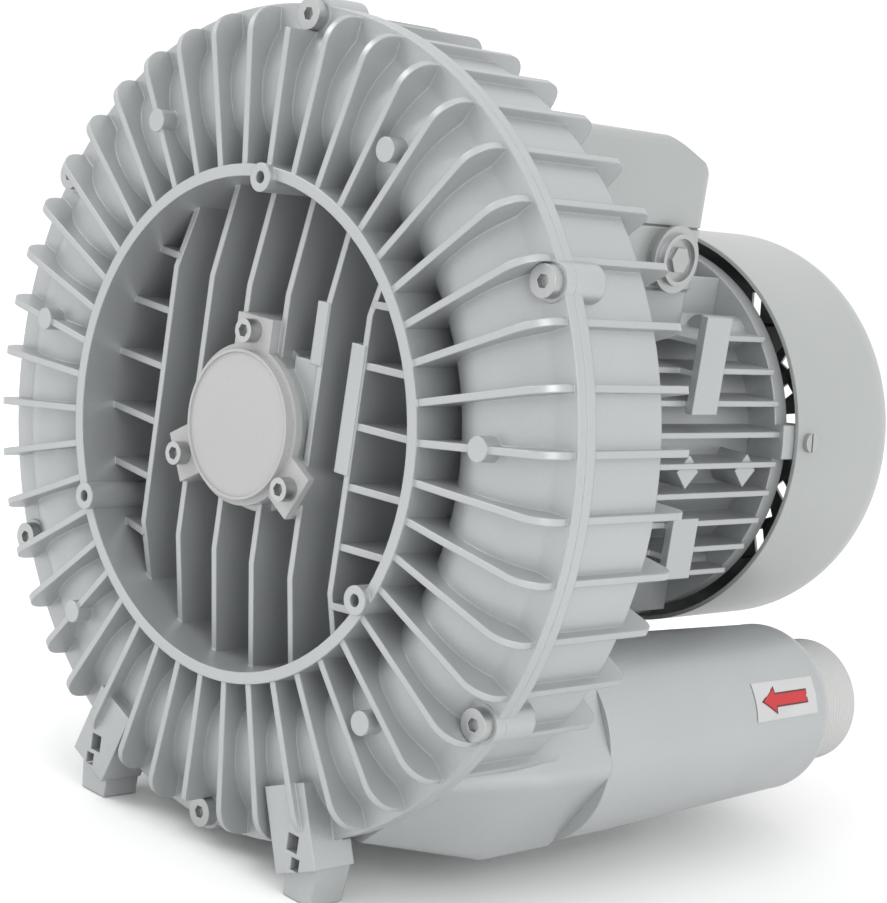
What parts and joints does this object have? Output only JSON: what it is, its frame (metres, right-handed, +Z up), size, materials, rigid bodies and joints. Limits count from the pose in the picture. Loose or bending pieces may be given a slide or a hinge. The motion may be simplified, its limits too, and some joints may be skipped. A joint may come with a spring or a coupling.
{
  "type": "side channel blower",
  "caption": "Side channel blower: finned ring housing around a bladed impeller on the shaft of a fan-cooled motor with terminal box, twin silencers on the ports below",
  "frame": {"origin": "on the floor, below the middle of the overall length, in the vertical plane through the shaft", "axes": "+Z up, -Y is the front with the ribbed recess, +X is the right side seen from the front, where the inlet silencer is; the shaft is parallel to Y, 185 mm above the floor"},
  "size_m": [0.351, 0.363, 0.364],
  "materials": {
    "paint": "satin",
    "cast_aluminium": "satin",
    "steel": "satin",
    "zinc_plated": "satin",
    "copper": "satin",
    "rubber": "matte",
    "black_plastic": "matte",
    "pale_metal": "satin",
    "foam": "matte"
  },
  "bodies": {
    "housing": {"front_cover": "paint", "rear_housing": "paint", "motor_frame": "paint", "end_shield": "paint", "cowl": "paint", "box_base": "paint", "box_lid": "paint", "inlet_silencer": "paint", "outlet_silencer": "paint", "bearing_cap": "paint", "front_bearing_outer": "steel", "rear_bearing_outer": "steel", "wave_spring": "steel", "stator_core": "steel", "cap_screws": "zinc_plated", "cover_screws": "zinc_plated", "cowl_screws": "zinc_plated", "motor_screws": "zinc_plated", "shield_screws": "zinc_plated", "lid_screws": "zinc_plated", "silencer_screws": "zinc_plated", "entry_plug": "zinc_plated", "silencer_liners": "zinc_plated", "windings": "copper", "terminal_studs": "copper", "box_gasket": "rubber", "lid_gasket": "rubber", "shaft_seal": "rubber", "terminal_board": "black_plastic", "inlet_connector": "pale_metal", "outlet_connector": "pale_metal", "silencer_foam": "foam"},
    "rotor": {"shaft": "steel", "impeller": "cast_aluminium", "impeller_key": "steel", "spacer_sleeve": "steel", "clamp_washer": "steel", "clamp_screw": "steel", "rotor_core": "cast_aluminium", "cooling_fan": "black_plastic", "fan_clip": "steel", "front_bearing_inner": "steel", "rear_bearing_inner": "steel"}
  },
  "joints": [
    {"name": "rotor_spin", "type": "hinge", "parent": "housing", "child": "rotor", "pos_m": [0, -0.0785, 0.185], "axis": [0, 1, 0], "continuous": true}
  ]
}
